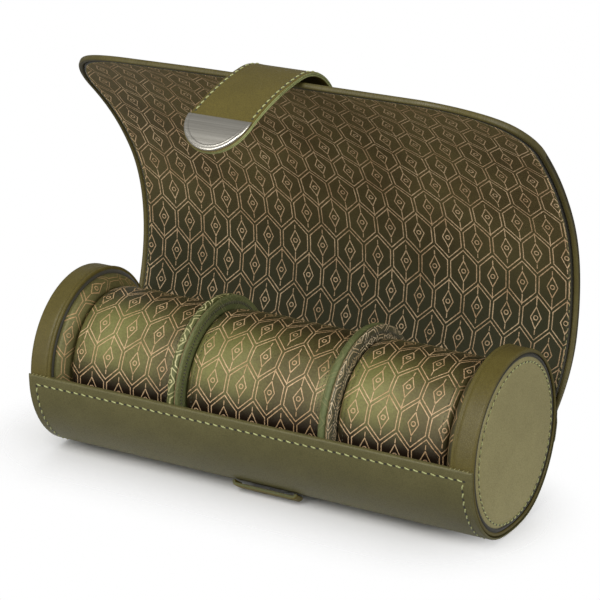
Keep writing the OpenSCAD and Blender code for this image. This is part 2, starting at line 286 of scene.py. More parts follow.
# tones are (dark, light)
leathers = {
    "shellLeather": {"tones": ("#615C37", "#706A42"), "pore": "#433F24", "grain": 950.0,
                     "depth": 0.12, "rough": 0.44, "gloss": 0.4},
    "rimLeather": {"tones": ("#5B5126", "#6B6132"), "pore": "#423A1C", "grain": 900.0,
                   "depth": 0.12, "rough": 0.38, "gloss": 0.28},
    "discLeather": {"tones": ("#9A9162", "#AAA170"), "pore": "#7A7248", "grain": 820.0,
                    "depth": 0.10, "rough": 0.42, "gloss": 0.4},
    "lidLeather": {"tones": ("#574F28", "#675E32"), "pore": "#423C1F", "grain": 950.0,
                   "depth": 0.10, "rough": 0.42, "gloss": 0.4},
    "strapLeather": {"tones": ("#635826", "#72662F"), "pore": "#473F1E", "grain": 900.0,
                     "depth": 0.12, "rough": 0.46, "gloss": 0.35},
}
hiddenLook = {"tones": ("#2E2B1C", "#3C3924"), "pore": "#262314", "grain": 1500.0,
              "depth": 0.05, "rough": 0.6, "gloss": 0.5}
honeycomb = {"across": 16.4, "row": 17.4, "rise": 7.8, "gap": 0.9, "width": 0.44, "tall": 1.9,
             "heart": 2.6, "spineAt": 9.2, "spine": 2.6, "ring": 1.1}
ribLines = dict(honeycomb, across=12.0, row=11.0, rise=5.2, gap=0.85, heart=1.9, spine=1.2,
                spineAt=5.6, ring=0.8)
padLook = {"tones": ("#585230", "#7C7846"), "copper": ("#9C7C54", "#D2A878"),
           "lineStrength": 0.85, "rough": 0.5, "metal": 0.2, "sheen": 0.1, "lines": honeycomb}
ribLook = {"tones": ("#4E4A34", "#6C6850"), "copper": ("#CDB084", "#F4DDB8"),
           "lineStrength": 0.9, "rough": 0.5, "metal": 0.1, "sheen": 0.05, "lines": ribLines}
cloths = {
    # the cushions' satin: a painted highlight band round each cushion, with painted shade in dark
    # brown above and below it
    "cushionSatin": dict(padLook, tones=("#5A5030", "#86854C"), copper=("#C49E70", "#E6C296"),
                         lineStrength=0.95, rough=0.40, metal=0.4, sheen=0.15,
                         shade="#2A1E12", round=38.4, bright=4.12),
    # the lid's lining: painted shade near the hinge and painted light toward the free end
    "lidSatin": dict(padLook, tones=("#5E5034", "#7A6E46"), copper=("#DDB68A", "#FFDDB0"),
                     lineStrength=1.0, rough=0.52, metal=0.08, sheen=0.0, gloss=0.2,
                     paintedHingeShade="#31301A", paintedEndLight="#85764E"),
    "padSatin": padLook,
    # the right pad's satin: the pad satin darkened as painted shade
    "padShade": dict(padLook, tones=("#3C3620", "#565030"), copper=("#8E6E4A", "#C09A6C")),
    "greenCloth": dict(padLook, tones=("#545A34", "#6F7648"), copper=("#8E8456", "#B8A878"),
                       lineStrength=0.25, rough=0.58, metal=0.1, sheen=0.15),
    "ribSatin": ribLook,
    "creamSatin": dict(ribLook, tones=("#4E522C", "#6C7040"), copper=("#BDB47C", "#E6DCA6")),
}
# the last of these is a dark paint of painted shade for needle holes, creases and grooves, not a
# thread
threads = {"stitchThread": ("#94965C", "#C0C386"), "fineThread": ("#7C7440", "#A8A066"),
           "darkThread": ("#2E2A18", "#48442A"), "paintedRecessShade": ("#23200F", "#302C16")}
# cutEdge is the cut edge's own light green raised lighter still, painted light where the edge lies
# in shade
edges = {"cutEdge": ("#9AA062", "#B9BF80"), "cutEdgeDark": ("#4A4C28", "#5E6036")}
twisted = {"source": "Object", "scale": 2500.0, "detail": 2.0, "fray": 0.5, "depth": 0.0001,
           "rough": 0.6, "sheen": 0.3}
layered = {"source": "UV", "scale": 1400.0, "detail": 3.0, "fray": 0.7, "depth": 0.00015,
           "rough": 0.62, "sheen": 0.0}
shellLeather, rimLeather, discLeather, lidLeather, strapLeather = [
    leatherPaint(name, look) for name, look in leathers.items()]
cushionSatin, lidSatin, padSatin, padShade, greenCloth, ribSatin, creamSatin = [
    satinPaint(name, look) for name, look in cloths.items()]
stitchThread, fineThread, darkThread, paintedRecessShade = [
    fibrePaint(name, tones, twisted) for name, tones in threads.items()]
cutEdge, cutEdgeDark = [fibrePaint(name, tones, layered) for name, tones in edges.items()]
capSteel = brushedPaint("capSteel", {"tones": ("#CFCABD", "#F2EDE0"), "rough": 0.30,
                                     "fine": (18.0, 2600.0, 1.0), "wide": (6.0, 420.0, 1.0)})
boardPaint = foamPaint("boardPaint", {"tones": ("#6E5C3E", "#8A7654"), "pits": 900.0})
foamCore = foamPaint("foamCore", {"tones": ("#A39C85", "#CFC9B4"), "pits": 1200.0})
hiddenSatin = leatherPaint("hiddenSatin", hiddenLook, "Object")
print("stage: materials made")


def meshPiece(name, verts, faces, paint, uv=None, marks=None, smooth=True):
    # vertices and faces from arrays: faces is one array or a list of arrays of different widths,
    # uv one place per vertex or a list of places per corner, marks one material number per face
    groups = faces if isinstance(faces, list) else [faces]
    corners = np.concatenate([g.ravel() for g in groups]).astype(np.int32)
    sizes = np.concatenate([np.full(len(g), g.shape[1]) for g in groups])
    mesh = bpy.data.meshes.new(name)
    mesh.vertices.add(len(verts))
    mesh.vertices.foreach_set("co", (verts * mm).astype(np.float32).ravel())
    mesh.loops.add(len(corners))
    mesh.loops.foreach_set("vertex_index", corners)
    mesh.polygons.add(len(sizes))
    mesh.polygons.foreach_set("loop_start", (np.cumsum(sizes) - sizes).astype(np.int32))
    mesh.polygons.foreach_set("use_smooth", np.full(len(sizes), smooth))
    for layer in paint if isinstance(paint, list) else [paint]:
        mesh.materials.append(layer)
    if marks is not None:
        mesh.polygons.foreach_set("material_index", marks.astype(np.int32))
    if uv is None:
        uv = verts[:, [0, 2]]
    if isinstance(uv, list):
        perCorner = np.concatenate([u.reshape(-1, 2) for u in uv])
    else:
        perCorner = uv[corners]
    pattern = mesh.uv_layers.new(name="UVMap")
    pattern.data.foreach_set("uv", (perCorner * mm).astype(np.float32).ravel())
    mesh.update(calc_edges=True)
    mesh.validate()
    piece = bpy.data.objects.new(name, mesh)
    bpy.context.scene.collection.objects.link(piece)
    return piece


def joined(*columns):
    # points from their coordinates, each an array or one number for all
    return np.stack(np.broadcast_arrays(*columns), -1)


def quadsOf(index):
    # one face between each four neighbours of a grid of vertex numbers
    return joined(index[:-1, :-1], index[1:, :-1], index[1:, 1:], index[:-1, 1:]).reshape(-1, 4)


def ringQuads(index):
    # the same on a grid whose last column meets its first
    after = np.roll(index, -1, 1)
    return joined(index[:-1], after[:-1], after[1:], index[1:])


def wallOf(edge, drop):
    # faces between a line of vertices and the same line on the other side, drop numbers later
    return joined(edge[:-1], edge[1:], edge[1:] + drop, edge[:-1] + drop)


def gridFaces(index, uv):
    # faces over a closed grid of vertex numbers, rows by columns; a row whose numbers are all
    # the same is a pole and gets triangles; uv holds one more column than index
    quads = ringQuads(index)
    places = np.stack([uv[:-1, :-1], uv[:-1, 1:], uv[1:, 1:], uv[1:, :-1]], 2)
    foot, tip = quads[..., 0] == quads[..., 1], quads[..., 2] == quads[..., 3]
    plain = ~(foot | tip)
    return [[grid[plain], np.concatenate([grid[foot][:, [0, 2, 3]], grid[tip][:, [0, 1, 2]]])]
            for grid in (quads, places)]


def rowNumbers(count, width, poles):
    # vertex numbers of a grid whose first and last rows may be single points
    widths = np.full(count, width)
    widths[[i for i in (0, -1) if poles[i]]] = 1
    first = np.concatenate([[0], np.cumsum(widths)[:-1]])
    single = widths == 1
    index = first[:, None] + np.where(single[:, None], 0, np.arange(width)[None])
    keep = np.ones((count, width), bool)
    keep[single, 1:] = False
    return index, keep


def runOf(path):
    # distance covered along a path of points, from its start
    return np.concatenate([[0], np.cumsum(np.linalg.norm(np.diff(path, axis=0), axis=1))])


def eased(t):
    # 0 to 1 with level ends: t squared times three less two t
    t = np.clip(t, 0, 1)
    return t * t * (3 - 2 * t)


def roundOff(far, reach, depth=None):
    # drop of a rounded edge below its face: a quarter ellipse over the reach from the outline
    k = np.clip(1 - far / reach, 0, 1)
    return (reach if depth is None else depth) * (1 - np.sqrt(1 - k * k))


def easeEdge(depth, steps):
    # distances from an edge, close together at the edge: depth times one less a cosine
    return depth * (1 - np.cos(np.linspace(0, np.pi / 2, steps)))


def sheetPlan(half, start, end, corner, ring, along, across, edge, steps):
    # a flat plan as points (x, s) with their distance from the outline: rows run straight
    # across; with a corner radius the far end is a rounded rectangle, whose outer rings follow
    # the outline and whose inside is filled by straight rows
    rim = np.unique(np.concatenate([easeEdge(edge, steps), np.linspace(edge, ring, 4)]))
    inside = half - ring
    if corner is None:
        middle = np.linspace(-inside, inside, max(3, int(2 * inside / across)))
        xs = np.concatenate([-half + rim[:-1], middle, (half - rim[:-1])[::-1]])
        rows = np.linspace(start, end, max(2, int(round((end - start) / along)) + 1))
        x, s = np.meshgrid(xs, rows)
        index = np.arange(x.size).reshape(x.shape)
        return {"xs": joined(x.ravel(), s.ravel()), "far": (half - np.abs(x)).ravel(),
                "quads": quadsOf(index), "sides": [index[:, 0][::-1], index[:, -1]],
                "cuts": [index[0], index[-1][::-1]]}
    bend = end - corner  # where the corners begin
    straight = np.linspace(start, bend, max(2, int(round((bend - start) / along)) + 1))
    turn = np.linspace(0, np.pi / 2, max(6, int(corner * 1.57 / along)))[1:]
    inner = corner - ring
    rows = np.concatenate([straight, bend + inner * np.sin(turn)])
    widths = np.concatenate([np.full(len(straight), inside),
                             half - corner + inner * np.cos(turn)])
    columns = np.linspace(-1, 1, max(4, int(2 * inside / across)))
    x, s = widths[:, None] * columns, np.repeat(rows[:, None], len(columns), 1)
    core = joined(x.ravel(), s.ravel())
    index = np.arange(x.size).reshape(x.shape)
    # the loop round the inside, up the left side, along the far end and down the right side,
    # and the outward direction at each of its points
    loop = np.concatenate([index[:, 0], index[-1, 1:-1], index[::-1, -1]])
    angle = np.concatenate([np.zeros(len(straight)), turn])
    left = joined(-np.cos(angle), np.sin(angle))
    top = np.repeat([[0.0, 1.0]], len(columns) - 2, 0)
    out = np.concatenate([left, top, (left * [-1, 1])[::-1]])
    rings = [core[loop] + out * (ring - far) for far in rim[-2::-1]]
    count = len(rings) * len(loop)
    ids = np.concatenate([loop[None], x.size + np.arange(count).reshape(len(rings), -1)])
    points = np.concatenate([core] + rings)
    dx, ds = np.abs(points[:, 0]) - (half - corner), points[:, 1] - bend
    byCorner = corner - np.hypot(np.maximum(dx, 0), np.maximum(ds, 0))
    byEnd = np.where(dx > 0, 1e3, end - points[:, 1])
    far = np.where(ds > 0, np.minimum(byCorner, byEnd), half - np.abs(points[:, 0]))
    return {"xs": points, "far": np.maximum(far, 0), "sides": [ids[-1]],
            "quads": np.concatenate([quadsOf(index), quadsOf(ids)]),
            "cuts": [np.concatenate([ids[::-1, 0], index[0, 1:-1], ids[:, -1]])]}


def slab(name, plan, place, heights, paint, edgeMark=0.0):
    # a sheet with thickness: heights are two functions of the distance from the outline and the
    # plan's points, place turns (x, s, height) into a point, and walls join top and bottom;
    # edgeMark is the width along the outline that takes the second paint
    xs, far, quads = plan["xs"], plan["far"], plan["quads"]
    upper, lower = [place(xs[:, 0], xs[:, 1], height(far, xs)) for height in heights]
    count = len(xs)
    rim = (far < edgeMark)[quads].all(1).astype(int)
    verts, uvs = [upper, lower], [xs, xs]
    faces, marks = [quads, quads[:, ::-1] + count], [rim, rim]
    for side in plan["sides"]:
        faces.append(wallOf(side, count)[:, ::-1])
        marks.append(np.full(len(side) - 1, int(edgeMark > 0)))
    count *= 2
    for cut in plan["cuts"]:
        verts += [upper[cut], lower[cut]]
        uvs += [xs[cut], xs[cut]]
        faces.append(wallOf(np.arange(count, count + len(cut)), len(cut)))
        marks.append(np.zeros(len(cut) - 1, int))
        count += 2 * len(cut)
    return meshPiece(name, np.concatenate(verts), np.concatenate(faces), paint,
                     np.concatenate(uvs), np.concatenate(marks))


def roundHeights(low, high, cornerTop, cornerLow):
    # top and bottom heights of a sheet whose two edges are quarter circles
    return (lambda far, xs: high - roundOff(far, cornerTop),
            lambda far, xs: low + roundOff(far, cornerLow))


def plate(name, x, s, top, low, paint, wallMark=0):
    # two grids of points joined by a wall round their outline; x and s place the pattern
    index = np.arange(x.size).reshape(x.shape)
    quads = quadsOf(index)
    edge = np.concatenate([index[:, 0], index[-1, 1:], index[::-1, -1][1:], index[0, ::-1][1:]])
    wall = wallOf(edge, x.size)[:, ::-1]
    verts = np.concatenate([top.reshape(-1, 3), low.reshape(-1, 3)])
    uv = np.tile(joined(x.ravel(), s.ravel()), (2, 1))
    marks = np.repeat([0, wallMark], [2 * len(quads), len(wall)])
    return meshPiece(name, verts, np.concatenate([quads, quads[:, ::-1] + x.size, wall]), paint,
                     uv, marks)


def beads(name, centres, along, up, length, radius, paint, lean=0.0, hole=None):
    # stitches: each a stretched bead, half sunk, drawn once as rings and set at every centre
    # along its own direction; hole is (distance ahead, size, paint) of the needle hole, a flat
    # dark pit of painted shade
    rings, sides = 7, 8
    form = {"tip": 0.12, "lift": 0.42, "dip": 0.9, "flat": 0.8, "holeLong": 1.5, "holeUp": 0.1}
    along = along / np.linalg.norm(along, axis=1)[:, None]
    side = np.cross(up, along)
    side /= np.linalg.norm(side, axis=1)[:, None]
    t = np.linspace(-1, 1, rings)
    girth = np.sqrt(np.clip(1 - np.abs(t) ** 3, 0, 1)) * radius
    girth[[0, -1]] = radius * form["tip"]
    lift = radius * (form["lift"] - np.abs(t) ** 3 * form["dip"])
    a = np.linspace(0, 2 * np.pi, sides, endpoint=False)
    p = np.repeat(t[:, None] * length / 2, sides, 1)
    q = girth[:, None] * np.cos(a)
    p, q = p * math.cos(lean) - q * math.sin(lean), p * math.sin(lean) + q * math.cos(lean)
    height = girth[:, None] * np.sin(a) * form["flat"] + lift[:, None]
    local = joined(p, q, height).reshape(-1, 3)
    quads = ringQuads(np.arange(rings * sides).reshape(rings, sides)).reshape(-1, 4)
    cap = np.array([[0, 1, 2, 3], [0, 3, 4, 7], [4, 5, 6, 7]])
    one = np.concatenate([quads, cap[:, ::-1], cap + (rings - 1) * sides])
    marks = np.zeros(len(one), int)
    paints = [paint]
    if hole is not None:
        # the thread dips into a small pit between two stitches, drawn as a flat dark disc of
        # painted shade
        place, size, dark = hole
        pit = joined(place + size * form["holeLong"] * np.cos(a), size * np.sin(a),
                     form["holeUp"])
        one = np.concatenate([one, cap + len(local)])
        local = np.concatenate([local, pit])
        marks = np.concatenate([marks, np.ones(len(cap), int)])
        paints.append(dark)
    turned = local @ np.stack([along, side, np.cross(along, side)], 1)
    many = one[None] + (np.arange(len(centres)) * len(local))[:, None, None]
    return meshPiece(name, (centres[:, None] + turned).reshape(-1, 3), many.reshape(-1, 4),
                     paints, marks=np.tile(marks, len(centres)))


def pitchAlong(path, pitch):
    # places at an even pitch along a path, and the direction at each
    run = runOf(path)
    count = max(1, int(run[-1] / pitch))
    at = (np.arange(count) + 0.5) * run[-1] / count

    def point(s):
        # straight between the path's points at distance s
        return joined(*[np.interp(s, run, column) for column in path.T])

    return point(at), point(at + 0.2) - point(at - 0.2)


def sew(name, paths, pitch, place, height, face, length, radius, paint, lean=0.0, hole=None):
    # stitches along paths (x, s) on a sheet, whose place turns (x, s, height) into a point;
    # face is 1 for its outside and -1 for its inside
    found = [pitchAlong(path, pitch) for path in paths]
    spots, ways = [np.concatenate(each) for each in zip(*found)]
    centres = place(spots[:, 0], spots[:, 1], height)
    ahead = spots + ways * 0.1
    return beads(name, centres, place(ahead[:, 0], ahead[:, 1], height) - centres,
                 place(spots[:, 0], spots[:, 1], height + 1.1 * face) - centres,
                 length, radius, paint, lean, hole)


def flatten(points, radius):
    # presses the round bottom to a soft flat: z = limit + soft ln(1 + e ^ over) less a part that
    # fades above it, with over = (z - limit) / soft; near the axis the form stays round
    press = {"from": 14.0, "over": 20.0, "soft": 3.0, "sink": 1.88}
    points, radius = np.array(points, float), np.asarray(radius)
    share = np.clip((radius - press["from"]) / press["over"], 0.001, 1)
    limit = axisZ - (radius - tube["flat"] * share)
    soft = press["soft"] * share
    over = (points[..., 2] - limit) / soft
    points[..., 2] = (limit + soft * np.logaddexp(0, over)
                      - press["sink"] * share / (1 + np.exp(np.minimum(over, 50.0))))
    return points


def lathe(name, profile, paint, side=1, wrap=None):
    # turns a profile of (x, radius) rows about the tube's axis; radius 0 at either end makes a
    # pole and side -1 mirrors it; the pattern lies flat on the face, or with wrap it runs along
    # the profile and round the axis, wrap millimetres to a radian
    segments = 192
    profile = np.asarray(profile, float)
    a = np.linspace(0, 2 * np.pi, segments + 1)
    x, r = profile[:, :1] * side, profile[:, 1:]
    points = flatten(joined(x, r * np.cos(a[:-1]), axisZ + r * np.sin(a[:-1])), r)
    poles = profile[0, 1] < 1e-6, profile[-1, 1] < 1e-6
    index, keep = rowNumbers(len(profile), segments, poles)
    if not any(poles):
        index = np.concatenate([index, index[:1]])
        profile = np.concatenate([profile, profile[:1]])
    if wrap is None:
        grid = profile[:, 1:, None] * joined(np.cos(a), np.sin(a))
    else:
        grid = joined(runOf(profile)[:, None], a * wrap)
    faces, uv = gridFaces(index, grid)
    if side < 0:
        faces, uv = [[group[:, ::-1] for group in kind] for kind in (faces, uv)]
    return meshPiece(name, points[keep], faces, paint, uv)


def arcRows(x, y, radius, start, end, steps):
    # points on a circle about (x, y), from one angle to the other in degrees
    a = np.radians(np.linspace(start, end, steps))
    return joined(x + radius * np.cos(a), y + radius * np.sin(a))


def ringAt(x, radius, start, end, steps):
    # points on a circle about the tube's axis, from one angle to the other in degrees
    return joined(float(x), *arcRows(0.0, axisZ, radius, start, end, steps).T)


def dress(piece, body, slot, *nodes):
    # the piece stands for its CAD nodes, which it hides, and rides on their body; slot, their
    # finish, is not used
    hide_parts(*nodes)
    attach(piece, body)


# the lid and the strap are chains of arcs; an arc is (length, turn in degrees), and a frame on
# the chain is (y, z, heading in degrees), with z from the tube's axis
lid = {"strip": 34.4, "turns": [18, 19, 24, 12, 9, 6], "start": (48.5, 0.0, 30.0),
       "half": 128.7, "corner": 50.0, "edge": 2.4, "thick": 3.6, "thin": 2.1, "endThin": 0.7,
       "close": 1.7, "closeRun": 36.0, "narrow": 0.009, "skive": 40.0,
       "hang": 1.2, "hangRun": 30.0, "hangLeft": 0.9, "leftFrom": -20.0, "leftRun": 80.0}
strap = {"half": 17.2, "patch": 12.0, "rootBack": 9.0, "middle": 4.0, "lift": 2.9,
         "arcs": [(8.0, -28.0), (40.0, 74.5), (44.0, 17.0), (20.5, 31.0)]}


def ahead(f, length, turn):
    # the frame after an arc that turns toward the front: the centre lies a radius behind the
    # start, and the end a radius ahead of the centre at the new heading
    r = length / math.radians(turn)
    a, b = math.radians(f[2]), math.radians(f[2] - turn)
    return (f[0] - r * math.cos(a) + r * math.cos(b), f[1] + r * math.sin(a) - r * math.sin(b),
            f[2] - turn)


def outward(f, distance):
    # the frame moved out along its normal
    a = math.radians(f[2])
    return (f[0] + distance * math.cos(a), f[1] - distance * math.sin(a), f[2])


def chain(start, arcs):
    # the frames between arcs that follow each other
    frames = [start]
    for length, turn in arcs:
        frames.append(ahead(frames[-1], length, turn))
    return frames


def onRoot(back):
    # the frame on the outside of the lid's fifth strip, a distance back from the strip's end
    share = 1 - back / lid["strip"]
    turn = lid["turns"][4] * share
    return outward(ahead(lidFrames[4], lid["strip"] * share, turn), strap["lift"])


lidArcs = [(lid["strip"], turn) for turn in lid["turns"]]
lidFrames = chain(lid["start"], lidArcs)
lidTotal = 6 * lid["strip"]
# the lid's sheets are cut at the middles of its strips
lidCuts = [0.0] + [lid["strip"] * (i + 0.5) for i in range(5)] + [lidTotal]
# the strap's first arc is its sewn root, which lies on the lid
patchTurn = lid["turns"][4] * strap["patch"] / lid["strip"]
patchLength = strap["patch"] + math.radians(patchTurn) * strap["lift"]
strapArcs = [(patchLength, patchTurn)] + strap["arcs"]
strapFrames = chain(onRoot(strap["rootBack"] + strap["patch"]), strapArcs)
strapTotal = sum(arc[0] for arc in strapArcs)
strapJoin = np.cumsum([arc[0] for arc in strapArcs])


def onChain(frames, arcs, s, t):
    # point (y, z) at run s and height t over a chain: on the arc that holds s, the angle falls
    # by the run since its start over its radius, and t adds to the radius
    lengths, turns = np.array(arcs, float).T
    ends = np.concatenate([[0.0], np.cumsum(lengths)])
    k = np.clip(np.searchsorted(ends, s, side="right") - 1, 0, len(arcs) - 1)
    table = np.array(frames[:-1])
    heading = np.radians(table[k, 2])
    r = lengths[k] / np.radians(turns[k])
    angle = heading - (s - ends[k]) / r
    return (table[k, 0] - r * np.cos(heading) + (r + t) * np.cos(angle),
            table[k, 1] + r * np.sin(heading) - (r + t) * np.sin(angle))


def onLid(x, s, t):
    # the lid's chain of arcs with t squeezed, let down and pulled in as its ends need
    x, s = np.asarray(x, float), np.asarray(s, float)
    # the free end hangs inward a little, more at its left corner
    end = np.clip((s - (lidTotal - lid["hangRun"])) / lid["hangRun"], 0, 1)
    left = eased((lid["leftFrom"] - x) / lid["leftRun"])
    hang = (lid["hang"] + lid["hangLeft"] * left) * end * end
    # at the hinge it is skived thin and lies close to the tube
    t = t * (1 - lid["thin"] / lid["thick"] * (1 - eased((s - 1) / lid["skive"])))
    close = lid["close"] * np.clip(1 - s / lid["closeRun"], 0, 1) ** 2
    y, z = onChain(lidFrames, lidArcs, s, t - hang - close)
    return joined(x * (1 - lid["narrow"] * close), y, axisZ + z)


def onStrap(x, s, t):
    # the strap's chain of arcs, set a little right of the middle
    y, z = onChain(strapFrames, strapArcs, np.asarray(s, float), t)
    return joined(x + strap["middle"], y, axisZ + z)


def metres(point):
    # each coordinate over a thousand
    return tuple(float(v) * mm for v in point)


def blendLid(piece, k):
    # ties the first stretch of the lid to its strip's body; any other stretch has its place baked
    # into its mesh, and the middles of its two strips are worked out but not used
    if k == 0:
        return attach(piece, "lid_1")
    start, end = [metres(onLid(0.0, lid["strip"] * (k + shift), 1.8)) for shift in (-0.5, 0.5)]
    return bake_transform(piece)


def buildLid():
    # leather with a turned edge and a sunk middle, which holds a stiff board and the lining
    look = {"edgeTop": 1.3, "edgeLow": 1.0, "sunk": 2.0, "sunkFrom": 0.35, "sunkRun": 0.55,
            "fallFrom": 26.0, "fallRun": 24.0, "inset": 0.85, "border": 0.95, "seam": 1.1,
            "pitch": 3.0}

    def leatherTop(far, xs):
        # full thickness less the fall toward the free end and the rounded edge
        fall = eased((xs[:, 1] - (lidTotal - look["fallFrom"])) / look["fallRun"])
        return lid["thick"] - lid["endThin"] * fall - roundOff(far, look["edgeTop"])

    def leatherLow(far, xs):
        # the rounded edge plus the step into the sunk middle
        dip = eased((far - lid["edge"] + look["sunkFrom"]) / look["sunkRun"])
        return roundOff(far, look["edgeLow"]) + look["sunk"] * dip

    inset = lid["edge"] + look["inset"]
    seam = inset + look["seam"]
    for k in range(6):
        s0, s1, last = lidCuts[k], lidCuts[k + 1], k == 5
        wide = sheetPlan(lid["half"], s0, s1, lid["corner"] if last else None,
                         ring=7.0, along=1.6, across=5.0, edge=3.4, steps=13)
        inner = sheetPlan(lid["half"] - inset, s0, s1 - (inset if last else 0),
                          lid["corner"] - inset if last else None,
                          ring=5.0, along=1.6, across=4.0, edge=1.2, steps=6)
        skin = slab(f"lid_skin_{k + 1}", wide, onLid, (leatherTop, leatherLow), lidLeather)
        # the lining's border and outline wall take the dark paint: painted shade in the groove
        # where the lining meets the leather
        lining = slab(f"lid_lining_sheet_{k + 1}", inner, onLid, roundHeights(0.1, 1.9, 0.3, 0.5),
                      [lidSatin, paintedRecessShade], look["border"])
        board = slab(f"lid_board_sheet_{k + 1}", inner, onLid, roundHeights(1.95, 2.3, 0.1, 0.1),
                     boardPaint)
        for piece, node, slot in ((skin, "lid_leather", "olive_leather"),
                                  (lining, "lid_lining", "satin_lining"),
                                  (board, "lid_board", "stiff_board")):
            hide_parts(f"{node}_{k + 1}")
            blendLid(piece, k)
        # the lining is sewn down close to its border
        h, c = lid["half"] - seam, lid["corner"] - seam
        if last:
            right = np.concatenate([[[h, s0]], arcRows(h - c, lidTotal - seam - c, c, 0, 90, 30)])
            paths = [np.concatenate([right, (right * [-1, 1])[::-1]])]
        else:
            paths = [np.array([(-h, s0), (-h, s1)]), np.array([(h, s0), (h, s1)])]
        blendLid(sew(f"lid_stitches_{k + 1}", paths, look["pitch"], onLid, 0.12, -1, 1.7, 0.2,
                     fineThread), k)


buildLid()
print("stage: lid built")


def buildStrap():
    # two leather layers in three stretches, each listed with two bodies but baked in place; a
    # stretch is (from, to, body before, body after, where the turn starts, where it ends) along
    # the strap
    look = {"cap": 16.6, "edge": 0.12, "seam": 1.8, "pitch": 4.2, "sewnAt": 2.16, "rootSeam": 3.0}
    one, two, three = strapJoin[1:4]
    spans = [(0.0, one + 21, "lid_5", "strap_1", one - 6, one + 12),
             (one + 21, two + 22, "strap_1", "strap_2", two - 10, two + 10),
             (two + 22, strapTotal, "strap_2", "strap_3", three - 9, three + 1.5)]
    seam = strap["half"] - look["seam"]
    for k, (s0, s1, before, after, w0, w1) in enumerate(spans):
        last = k == 2
        start, end = [metres(onStrap(0.0, w, 1.1)) for w in (w0, w1)]
        plan = sheetPlan(strap["half"], s0, s1, look["cap"] if last else None,
                         ring=3.0, along=0.9, across=1.5, edge=1.4, steps=8)
        face, back = [slab(f"strap_{word}_{k + 1}", plan, onStrap, heights,
                           [strapLeather, cutEdge], look["edge"])
                      for word, heights in (("skin", roundHeights(1.08, 2.2, 0.45, 0.12)),
                                            ("lining", roundHeights(0.0, 1.04, 0.12, 0.4)))]
        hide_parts(*([f"strap_face_{k + 1}"] + (["strap_root"] if k == 0 else [])))
        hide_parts(f"strap_back_{k + 1}")
        rows = np.linspace(s0 + (look["rootSeam"] if k == 0 else 0),
                           three - 0.5 if last else s1, 60)
        paths = [joined(side * seam, rows) for side in (-1, 1)]
        if k == 0:
            paths.append(joined(np.linspace(-seam, seam, 20), look["rootSeam"]))
        sewn = sew(f"strap_stitches_{k + 1}", paths, look["pitch"], onStrap, look["sewnAt"], 1,
                   2.9, 0.4, stitchThread, -0.2, (2.1, 0.5, paintedRecessShade))
        for piece in (face, back, sewn):
            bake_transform(piece)


def buildCap():
    # half-round metal plate over the strap's end: bevelled edge and a shallow line inside it
    look = {"start": 2.4, "endGap": 0.5, "half": 17.0, "corner": 16.8, "thick": 1.35,
            "bevel": 0.7, "lineAt": 1.5, "lineWidth": 0.55, "lineDepth": 0.16, "base": 2.24}
    s0 = strapJoin[3] + look["start"]
    plan = sheetPlan(look["half"], s0, strapTotal - look["endGap"], look["corner"],
                     ring=3.2, along=0.6, across=0.9, edge=2.4, steps=10)
    # the straight edge is bevelled like the rest
    plan["far"] = np.minimum(plan["far"], plan["xs"][:, 1] - s0)

    def top(far, xs):
        # base plus thickness, less the bevel and a hollow: one less distance over width, squared
        line = np.clip(1 - np.abs(far - look["lineAt"]) / look["lineWidth"], 0, 1)
        return (look["base"] + look["thick"] - roundOff(far, look["bevel"])
                - look["lineDepth"] * line ** 2)

    cap = slab("tip_plate", plan, onStrap, (top, lambda far, xs: look["base"] + 0 * far),
               capSteel)
    dress(cap, "strap_3", "brushed_cap", "strap_cap")


buildStrap()
buildCap()
print("stage: strap built")


def onShell(angle, x, height):
    # point on the tube: angle in degrees from the back over the top, height over its radius;
    # the bottom is pressed flat at every height
    r = tube["radius"] + height
    a = np.radians(angle)
    return flatten(joined(x, r * np.cos(a), axisZ + r * np.sin(a)), r)


frontAngle = 180 - math.degrees(math.asin(tube["frontRise"] / tube["radius"]))
backAngle = 360 + math.degrees(math.asin(tube["backRise"] / tube["radius"]))


def buildShell():
    # half tube of leather; s runs from the front edge down round the bottom to the back edge
    look = {"round": 1.05, "thick": 1.15, "turned": 1.95, "turnedRound": 0.9, "sinkAt": 4.8,
            "sink": 0.10, "sinkWidth": 2.2, "seam": 5.0, "pitch": 4.6}
    half, seam = tube["half"], look["seam"]
    length = math.radians(backAngle - frontAngle) * tube["radius"]

    def place(x, s, t):
        # the angle grows by s over the radius
        return onShell(frontAngle + np.degrees(s / tube["radius"]), x, t)

    end = easeEdge(1.3, 8)
    xs = np.concatenate([-half + end, np.linspace(-half + 2, half - 2, 90), (half - end)[::-1]])
    rows = np.concatenate([easeEdge(1.1, 8), np.linspace(1.6, length - 1, 150), [length]])
    x, s = np.meshgrid(xs, rows)
    farEnd = half - np.abs(x)
    # the leather sinks a little along its seams
    sink = [look["sink"] * np.exp(-((far - look["sinkAt"]) / look["sinkWidth"]) ** 2)
            for far in (s, farEnd)]
    top = place(x, s, -roundOff(np.minimum(farEnd, s), look["round"]) - (sink[0] + sink[1]))
    # between the rims the edge is turned over the board, so it is thicker there
    between = np.clip((half - tube["rimWidth"] - 0.2 - np.abs(x)) / 0.3, 0, 1)
    thick = look["thick"] + between * look["turned"]
    low = place(x, s, -thick + roundOff(s, look["turnedRound"]) * between)
    shell = plate("tube_leather", x, s, top, low, shellLeather)
    dress(shell, "tube", "olive_leather", "shell_leather")
    # stitches: along the front edge and down both ends
    down = np.linspace(seam, length - 3, 120)
    path = np.concatenate([joined(seam - half, down[::-1]), joined(half - seam, down)])
    sewn = sew("tube_stitches", [path], look["pitch"], place, -0.1, 1, 3.2, 0.4, stitchThread,
               -0.24, (2.3, 0.55, paintedRecessShade))
    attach(sewn, "tube")
    # a few threads pass over the front edge at both corners
    across = np.arange(115.5, 126, 2.2)
    across = np.concatenate([across, -across])
    centres = place(across, 0.1, -0.9)
    sewn = beads("corner_stitches", centres, place(across, 0.1, 0.1) - centres,
                 place(across, -0.9, -0.9) - centres, 2.0, 0.26, fineThread)
    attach(sewn, "tube")


